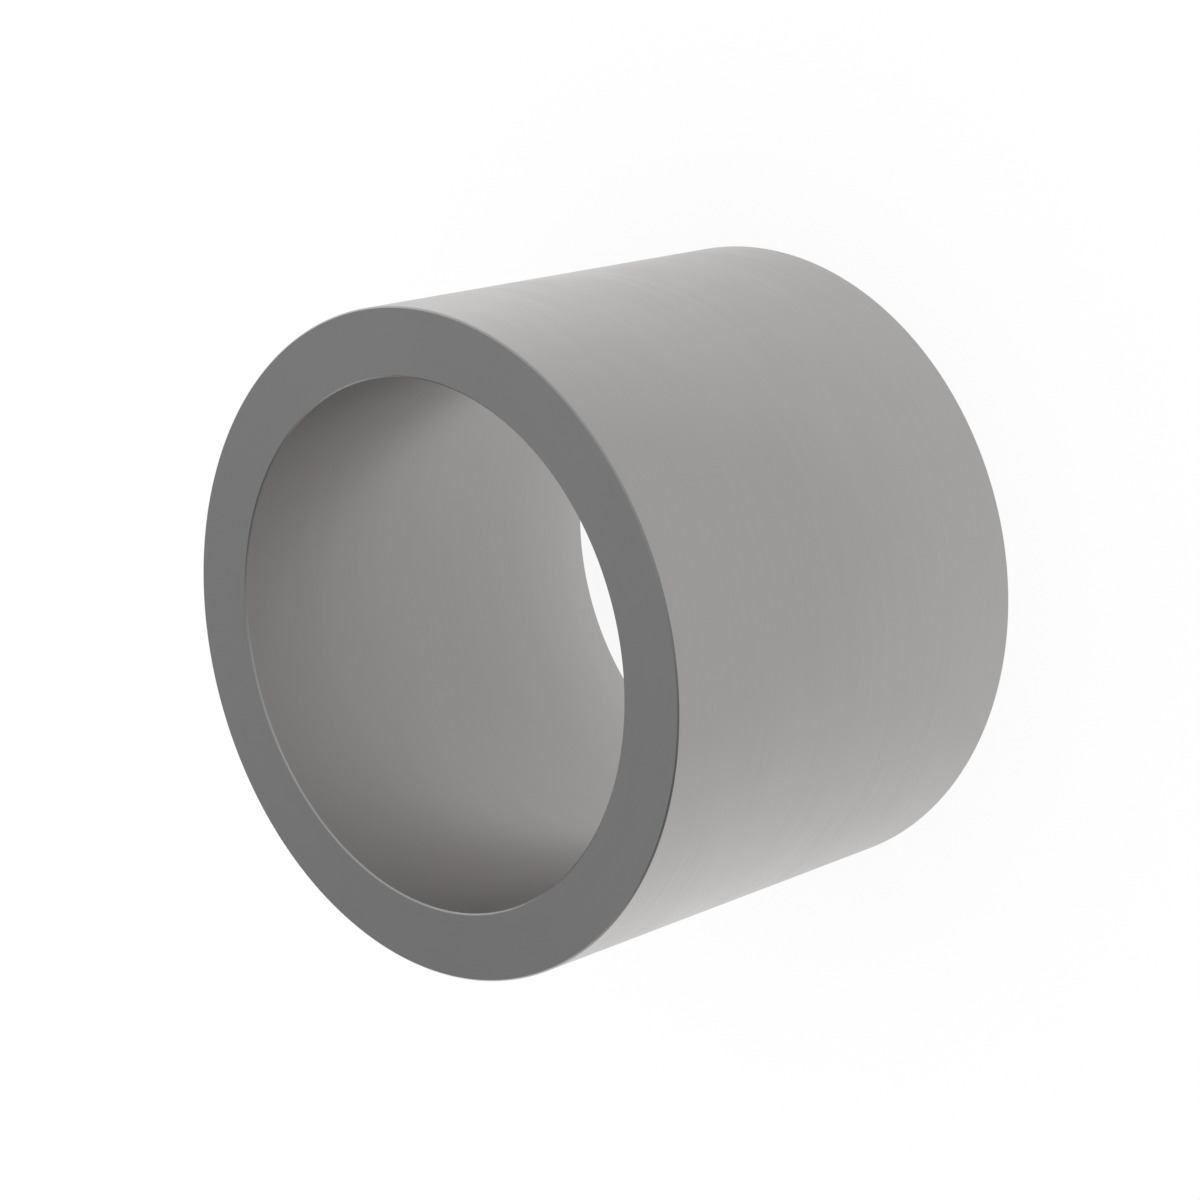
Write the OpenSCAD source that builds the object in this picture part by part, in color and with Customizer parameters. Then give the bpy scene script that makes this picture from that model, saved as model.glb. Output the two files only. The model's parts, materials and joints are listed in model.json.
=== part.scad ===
// Spacer sleeve: a plain turned tube that holds two bolted parts a set distance apart.
// It stands on its lower ring face. The origin is the centre of that face, and the bore runs along Z.

/* [Bore] */
// Diameter of the bore, a medium clearance hole for a 16 mm bolt
bore_d = 17.5; // [6:0.1:40]
// Width of the 45 degree edge break at both mouths of the bore
bore_edge_break = 0.05; // [0.01:0.01:0.2]

/* [Wall] */
// Thickness of the wall, from the bore to the outer face
wall = 2.25; // [0.5:0.05:10]
// Width of the 45 degree edge break round both ends of the outer face
outer_edge_break = 0.05; // [0.01:0.01:0.2]

/* [Length] */
// Distance between the two ring faces, which is the gap that the sleeve keeps
length = 16.3; // [3:0.1:80]

/* [Hidden] */

// Sides of a full turn where the sleeve is drawn as a mesh
turn_sides = 180;

bore_r = bore_d / 2;
outer_r = bore_r + wall;

// One side of the section through the axis, drawn from the lower ring face round to the bore
module wall_section() {
    polygon([
        [bore_r + bore_edge_break, 0],
        [outer_r - outer_edge_break, 0],
        [outer_r, outer_edge_break],
        [outer_r, length - outer_edge_break],
        [outer_r - outer_edge_break, length],
        [bore_r + bore_edge_break, length],
        [bore_r, length - bore_edge_break],
        [bore_r, bore_edge_break]
    ]);
}

module sleeve() {
    color([0.60, 0.60, 0.59])
        rotate_extrude($fn = turn_sides)
            wall_section();
}

sleeve();
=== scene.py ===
import json
import math

import bpy
import numpy as np
from mathutils import Matrix, Vector


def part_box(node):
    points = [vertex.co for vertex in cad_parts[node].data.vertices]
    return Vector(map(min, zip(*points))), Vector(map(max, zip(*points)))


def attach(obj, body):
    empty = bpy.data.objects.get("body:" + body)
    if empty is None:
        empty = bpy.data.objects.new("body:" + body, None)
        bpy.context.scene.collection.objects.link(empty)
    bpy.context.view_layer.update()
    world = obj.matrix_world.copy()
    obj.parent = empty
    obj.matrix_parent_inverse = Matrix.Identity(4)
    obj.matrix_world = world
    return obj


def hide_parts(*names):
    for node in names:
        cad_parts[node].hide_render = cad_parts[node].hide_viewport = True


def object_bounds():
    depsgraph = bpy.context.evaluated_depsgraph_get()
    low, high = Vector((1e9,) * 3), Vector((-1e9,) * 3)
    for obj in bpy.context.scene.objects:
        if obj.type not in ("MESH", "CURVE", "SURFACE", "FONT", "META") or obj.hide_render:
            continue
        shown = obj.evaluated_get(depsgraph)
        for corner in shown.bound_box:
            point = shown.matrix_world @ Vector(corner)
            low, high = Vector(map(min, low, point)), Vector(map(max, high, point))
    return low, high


mm = 0.001

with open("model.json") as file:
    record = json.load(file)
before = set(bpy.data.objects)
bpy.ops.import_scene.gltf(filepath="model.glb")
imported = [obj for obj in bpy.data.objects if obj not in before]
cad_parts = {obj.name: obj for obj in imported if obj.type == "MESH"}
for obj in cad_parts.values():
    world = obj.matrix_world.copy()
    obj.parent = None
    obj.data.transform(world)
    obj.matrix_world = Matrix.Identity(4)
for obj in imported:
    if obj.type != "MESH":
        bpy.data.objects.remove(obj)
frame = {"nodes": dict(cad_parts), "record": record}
cadLow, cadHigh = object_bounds()
print("frame loaded:", ", ".join(sorted(frame["nodes"])))


# Shared helpers

def linearColour(hexColour):
    # An sRGB hex colour as linear red, green, blue and alpha: c / 12.92 for dark values, else
    # ((c + 0.055) / 1.055) ^ 2.4
    channels = np.array([int(hexColour[i:i + 2], 16) / 255 for i in (1, 3, 5)])
    bright = ((channels + 0.055) / 1.055) ** 2.4
    return (*np.where(channels <= 0.04045, channels / 12.92, bright).tolist(), 1.0)


def addNode(tree, kind, inputs=None, **settings):
    # Adds one node. Settings are its own properties, and inputs gives each socket a value or
    # another node's output
    node = tree.nodes.new(kind)
    for name, value in settings.items():
        setattr(node, name, value)
    for socket, value in (inputs or {}).items():
        if isinstance(value, bpy.types.NodeSocket):
            tree.links.new(value, node.inputs[socket])
        else:
            node.inputs[socket].default_value = value
    return node


def newMaterial(name):
    # An empty material with its output node
    material = bpy.data.materials.new(name)
    material.use_nodes = True
    material.node_tree.nodes.clear()
    return material, material.node_tree, material.node_tree.nodes.new("ShaderNodeOutputMaterial")


# The sleeve, turned from bar

sleeveForm = {
    "edgeBreak": 0.05 * mm,   # flat at 45 degrees that a deburring tool leaves on each rim
    "turnSteps": 320,         # steps round the axis
    "wallSteps": 22,          # steps along the outer wall and along the bore
    "faceSteps": 6,           # steps across each ring face
}


def sleeveSection(boreRadius, outerRadius, length, form):
    # The wall's section: eight corners in (radius, height), anticlockwise from the foot of the
    # outer wall, each side cut into equal steps. A side's normal is its direction turned a
    # quarter turn clockwise: (up, -across)
    cut = form["edgeBreak"]
    corners = np.array([(outerRadius, cut), (outerRadius, length - cut), (outerRadius - cut, length),
                        (boreRadius + cut, length), (boreRadius, length - cut), (boreRadius, cut),
                        (boreRadius + cut, 0), (outerRadius - cut, 0)])
    steps = [form["wallSteps"], 1, form["faceSteps"], 1] * 2
    sides = np.roll(corners, -1, axis=0) - corners
    points = np.concatenate([corner + np.arange(count)[:, None] / count * side
                             for corner, side, count in zip(corners, sides, steps)])
    normals = np.stack([sides[:, 1], -sides[:, 0]], axis=1)
    normals /= np.linalg.norm(sides, axis=1, keepdims=True)
    return points, np.repeat(normals, steps, axis=0)


def turnedMesh(name, section, stepNormals, turnSteps):
    # A surface of revolution: section point i at turn angle t lies at (r cos t, r sin t, z).
    # A face between points i and i + 1 has the section's normal there at each corner, turned
    # by the corner's angle, so the walls are smooth and the rims stay crisp
    turn = np.linspace(0, 2 * math.pi, turnSteps, endpoint=False)[None, :]
    sectionSteps = len(section)

    def revolve(pairs):
        across, up = pairs[:, :1], pairs[:, 1:]
        return np.stack([across * np.cos(turn), across * np.sin(turn), up * np.ones_like(turn)], axis=2)

    i, j = np.meshgrid(np.arange(sectionSteps), np.arange(turnSteps), indexing="ij")
    nextI, nextJ = (i + 1) % sectionSteps, (j + 1) % turnSteps
    here, onward = i * turnSteps, nextI * turnSteps
    quads = np.stack([here + j, here + nextJ, onward + nextJ, onward + j], axis=2)
    mesh = bpy.data.meshes.new(name)
    mesh.from_pydata(revolve(section).reshape(-1, 3), [], quads.reshape(-1, 4))
    mesh.polygons.foreach_set("use_smooth", np.ones(len(mesh.polygons), bool))
    turned = revolve(stepNormals)
    atNext = np.roll(turned, -1, axis=1)
    mesh.normals_split_custom_set(np.stack([turned, atNext, atNext, turned], axis=2).reshape(-1, 3))
    mesh.update()
    return mesh


def makeSleeve(form, boreRadius):
    low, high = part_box("sleeve")
    section, stepNormals = sleeveSection(boreRadius, high.x, high.z - low.z, form)
    mesh = turnedMesh("turned_sleeve", section, stepNormals, form["turnSteps"])
    sleeve = bpy.data.objects.new("turned_sleeve", mesh)
    bpy.context.scene.collection.objects.link(sleeve)
    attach(sleeve, "root")
    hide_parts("sleeve")
    print("sleeve made:", len(mesh.polygons), "faces")
    return sleeve


# Turned steel: cut on a lathe, which leaves it satin, with fine rings round the axis. Bare metal
# shows only its reflections, here as a mid grey, faintly warm, and paler where it is seen edge on.

turnedSteel = {
    "colour": ("#bebcba", "#bbb9b7"),      # on the rings and between them
    "boreColourPaintedPaler": ("#c9c7c5", "#c6c4c3"),  # painted paler than the wall, so the bore's deep shade renders lighter
    "roughness": (0.27, 0.35),             # smoothest and roughest
    "boreRoughness": (0.36, 0.38),         # duller and more even, as a reamer leaves it
    "polishSpread": (0.1, 0.4),            # where the noises give smoothest and roughest
    "boreMargin": 1.002,                   # takes in all of the bore's wall despite rounding
    "ringPitch": 0.16 * mm,                # feed of a finishing cut
    "ringRun": 5.0 * mm,                   # how far round a ring keeps its depth
    "ringDepth": 0.00045 * mm,
    "ringDetail": 1.5,
    "patchSize": 6.0 * mm,                 # slow changes in polish from handling
    "patchDetail": 2,
}


def turnedSteelMaterial(finish, boreRadius):
    material, tree, output = newMaterial("turnedSteel")
    place = addNode(tree, "ShaderNodeTexCoord").outputs["Object"]
    flat = addNode(tree, "ShaderNodeVectorMath", {0: place, 1: (1, 1, 0)}, operation="MULTIPLY")
    radius = addNode(tree, "ShaderNodeVectorMath", {0: flat.outputs[0]},
                     operation="LENGTH").outputs["Value"]
    height = addNode(tree, "ShaderNodeSeparateXYZ", {0: place}).outputs["Z"]
    # The tool moves along the wall or across the face, so the rings follow radius + height
    toolPath = addNode(tree, "ShaderNodeMath", {0: radius, 1: height}, operation="ADD").outputs[0]
    feed = addNode(tree, "ShaderNodeMath", {0: toolPath, 1: 1 / finish["ringPitch"]},
                   operation="MULTIPLY").outputs[0]
    alongRings = addNode(tree, "ShaderNodeVectorMath", {0: place, "Scale": 1 / finish["ringRun"]},
                         operation="SCALE").outputs[0]
    rings = addNode(tree, "ShaderNodeTexNoise",
                    {"Vector": alongRings, "W": feed, "Scale": 1, "Detail": finish["ringDetail"]},
                    noise_dimensions="4D").outputs["Fac"]
    patches = addNode(tree, "ShaderNodeTexNoise",
                      {"Vector": place, "Scale": 1 / finish["patchSize"],
                       "Detail": finish["patchDetail"]}).outputs["Fac"]
    polish = addNode(tree, "ShaderNodeMath", {0: rings, 1: patches}, operation="MULTIPLY").outputs[0]
    spreadLow, spreadHigh = finish["polishSpread"]
    wallRoughness, boreRoughness = (
        addNode(tree, "ShaderNodeMapRange",
                {"Value": polish, "From Min": spreadLow, "From Max": spreadHigh,
                 "To Min": smoothest, "To Max": roughest}).outputs[0]
        for smoothest, roughest in (finish["roughness"], finish["boreRoughness"]))
    wallColour, boreColourPaintedPaler = (
        addNode(tree, "ShaderNodeMix",
                {"Factor": rings, "A": linearColour(onRings), "B": linearColour(between)},
                data_type="RGBA").outputs["Result"]
        for onRings, between in (finish["colour"], finish["boreColourPaintedPaler"]))
    isBore = addNode(tree, "ShaderNodeMath", {0: radius, 1: boreRadius * finish["boreMargin"]},
                     operation="LESS_THAN").outputs[0]
    # Inside the bore the colour is painted paler than the wall's, which lifts the bore's deep shade
    colour = addNode(tree, "ShaderNodeMix", {"Factor": isBore, "A": wallColour, "B": boreColourPaintedPaler},
                     data_type="RGBA").outputs["Result"]
    roughness = addNode(tree, "ShaderNodeMix",
                        {"Factor": isBore, "A": wallRoughness, "B": boreRoughness}).outputs["Result"]
    bump = addNode(tree, "ShaderNodeBump",
                   {"Height": rings, "Distance": finish["ringDepth"]}).outputs[0]
    shader = addNode(tree, "ShaderNodeBsdfPrincipled",
                     {"Base Color": colour, "Metallic": 1, "Roughness": roughness, "Normal": bump})
    tree.links.new(shader.outputs[0], output.inputs["Surface"])
    return material


# Floor, light and camera

studio = {
    "floorSize": 4.0,             # metres
    "floorColour": "#f7f7f7",
    "floorShare": 0.9,            # how far it shows as plain white to the camera and in metal
    "frontWhite": 0.64,           # that white as metal shows it, on the camera's side: painted shade
    "behindWhite": 1.0,           # and behind the sleeve, as on a sweep lit from behind
    "frontAt": -20 * mm,          # where the one ends, along Y
    "behindAt": 6 * mm,           # and where the other begins
    "insideWhite": (0.54, 0.75),  # in the middle of the bore and by its wall: less light gets in
    "backdropColour": "#ffffff",  # all round, level with the sleeve
    "ceilingColour": "#999b9d",   # dim above it, and faintly cool
    "ceilingFrom": 0.38,          # sine of the height at which it begins
    "ceilingTilt": 0.8,           # how much brighter it is on the +X side, and dimmer on the other
    "lampSize": 0.44,             # metres
    "lampDistance": 0.5,
    "lampElevation": 85,          # degrees above the floor, from the camera's side
    "lampPower": 0.5,             # watts
}


def floorPaperMaterial(settings, boreRadius):
    # Matt white paper, lit and shaded. The camera, and rays that show the surroundings in metal
    # and glass, see it mostly as plain white: 1 to the camera, and in reflections painted light and
    # shade, falling off from behind the sleeve to the camera's side and dimmer inside the bore
    material, tree, output = newMaterial("floorPaper")
    path = addNode(tree, "ShaderNodeLightPath").outputs
    place = addNode(tree, "ShaderNodeTexCoord").outputs["Object"]
    depth = addNode(tree, "ShaderNodeSeparateXYZ", {0: place}).outputs["Y"]
    # Painted light and shade: the glow that metal sees on the floor ramps along Y, dim on the camera's
    # side and full behind the sleeve
    outside = addNode(tree, "ShaderNodeMapRange",
                      {"Value": depth, "From Min": settings["frontAt"], "From Max": settings["behindAt"],
                       "To Min": settings["frontWhite"], "To Max": settings["behindWhite"]}).outputs[0]
    # Painted shadow: inside the bore the floor's glow is dimmer, most of all in the middle
    squaredRadius = addNode(tree, "ShaderNodeVectorMath", {0: place, 1: place},
                            operation="DOT_PRODUCT").outputs["Value"]
    isInside = addNode(tree, "ShaderNodeMath", {0: squaredRadius, 1: boreRadius ** 2},
                       operation="LESS_THAN").outputs[0]
    inMiddle, byWall = settings["insideWhite"]
    inside = addNode(tree, "ShaderNodeMapRange",
                     {"Value": squaredRadius, "From Max": boreRadius ** 2,
                      "To Min": inMiddle, "To Max": byWall}).outputs[0]
    mirrored = addNode(tree, "ShaderNodeMix",
                       {"Factor": isInside, "A": outside, "B": inside}).outputs["Result"]
    strength = addNode(tree, "ShaderNodeMix",
                       {"Factor": path["Is Camera Ray"], "A": mirrored, "B": 1}).outputs["Result"]
    reflected = addNode(tree, "ShaderNodeMath",
                        {0: path["Is Glossy Ray"], 1: path["Is Transmission Ray"]},
                        operation="MAXIMUM").outputs[0]
    shows = addNode(tree, "ShaderNodeMath", {0: path["Is Camera Ray"], 1: reflected},
                    operation="MAXIMUM").outputs[0]
    share = addNode(tree, "ShaderNodeMath", {0: shows, 1: settings["floorShare"]},
                    operation="MULTIPLY").outputs[0]
    lit = addNode(tree, "ShaderNodeBsdfDiffuse",
                  {"Color": linearColour(settings["floorColour"])}).outputs[0]
    white = addNode(tree, "ShaderNodeEmission", {"Strength": strength}).outputs[0]
    shown = addNode(tree, "ShaderNodeMixShader", {0: share, 1: lit, 2: white}).outputs[0]
    tree.links.new(shown, output.inputs["Surface"])
    return material


def makeFloor(settings, boreRadius):
    half = settings["floorSize"] / 2
    corners = [(-half, -half, 0), (half, -half, 0), (half, half, 0), (-half, half, 0)]
    mesh = bpy.data.meshes.new("floor")
    mesh.from_pydata(corners, [], [(0, 1, 2, 3)])
    floor = bpy.data.objects.new("floor", mesh)
    bpy.context.scene.collection.objects.link(floor)
    mesh.materials.append(floorPaperMaterial(settings, boreRadius))


def makeSurroundings(settings):
    # Plain white to the camera, and plain white light on anything matt. Metal shows it as white
    # at the level of the sleeve and as a dim ceiling above
    world = bpy.data.worlds.new("studioRoom")
    world.cycles.sampling_method = "NONE"  # keeps the two apart, as sampled light is never glossy
    world.use_nodes = True
    tree = world.node_tree
    tree.nodes.clear()
    direction = addNode(tree, "ShaderNodeTexCoord").outputs["Generated"]
    parts = addNode(tree, "ShaderNodeSeparateXYZ", {0: direction}).outputs
    upward = addNode(tree, "ShaderNodeMapRange",
                     {"Value": parts["Z"], "From Max": settings["ceilingFrom"]}).outputs[0]
    tilt = addNode(tree, "ShaderNodeMath", {0: parts["X"], 1: settings["ceilingTilt"], 2: 1},
                   operation="MULTIPLY_ADD").outputs[0]
    ceiling = addNode(tree, "ShaderNodeBackground",
                      {"Color": linearColour(settings["ceilingColour"]), "Strength": tilt}).outputs[0]
    backdrop = addNode(tree, "ShaderNodeBackground",
                       {"Color": linearColour(settings["backdropColour"])}).outputs[0]
    room = addNode(tree, "ShaderNodeMixShader", {0: upward, 1: backdrop, 2: ceiling}).outputs[0]
    isGlossy = addNode(tree, "ShaderNodeLightPath").outputs["Is Glossy Ray"]
    shown = addNode(tree, "ShaderNodeMixShader", {0: isGlossy, 1: backdrop, 2: room}).outputs[0]
    output = tree.nodes.new("ShaderNodeOutputWorld")
    tree.links.new(shown, output.inputs["Surface"])
    bpy.context.scene.world = world


def makeLamp(settings, target):
    # One large soft lamp almost straight above, with a faint shadow all round
    lamp = bpy.data.lights.new("softLamp", "AREA")
    lamp.size = settings["lampSize"]
    lamp.energy = settings["lampPower"]
    holder = bpy.data.objects.new("softLamp", lamp)
    elevation = math.radians(settings["lampElevation"])
    back = Vector((0, -math.cos(elevation), math.sin(elevation)))
    holder.location = target + back * settings["lampDistance"]
    holder.rotation_euler = back.to_track_quat("Z", "Y").to_euler()
    bpy.context.scene.collection.objects.link(holder)


view = {
    "angleToBore": 45.71,         # degrees between the line of sight and the bore
    "roll": -105.35,              # degrees: the sleeve stands, and the picture has it on its side
    "distance": 112.36 * mm,      # to the middle of the sleeve
    "lens": 100,                  # millimetres, in which Blender counts these two
    "sensor": 36,
}


def makeCamera(settings, target):
    # Looks down on the sleeve from -Y, along +Y, then rolls about its own line of sight
    camera = bpy.data.cameras.new("camera")
    camera.lens = settings["lens"]
    camera.sensor_width = settings["sensor"]
    camera.clip_start = 1 * mm
    camera.clip_end = 100
    holder = bpy.data.objects.new("camera", camera)
    turn = Matrix.Rotation(math.radians(settings["angleToBore"]), 4, "X")
    turn = turn @ Matrix.Rotation(math.radians(settings["roll"]), 4, "Z")
    holder.matrix_world = Matrix.Translation(target + turn.col[2].to_3d() * settings["distance"]) @ turn
    bpy.context.scene.collection.objects.link(holder)
    bpy.context.scene.camera = holder


middle = (cadLow + cadHigh) / 2
boreMount = next(mount for mount in frame["record"]["mounts"] if mount["name"] == "bore")
boreRadius = boreMount["dims"]["r_mm"] * mm
makeCamera(view, middle)
makeSurroundings(studio)
makeLamp(studio, middle)
makeFloor(studio, boreRadius)
print("studio made")

sleeve = makeSleeve(sleeveForm, boreRadius)
sleeve.data.materials.append(turnedSteelMaterial(turnedSteel, boreRadius))
print("finish made")

bpy.context.scene.view_settings.view_transform = "Standard"
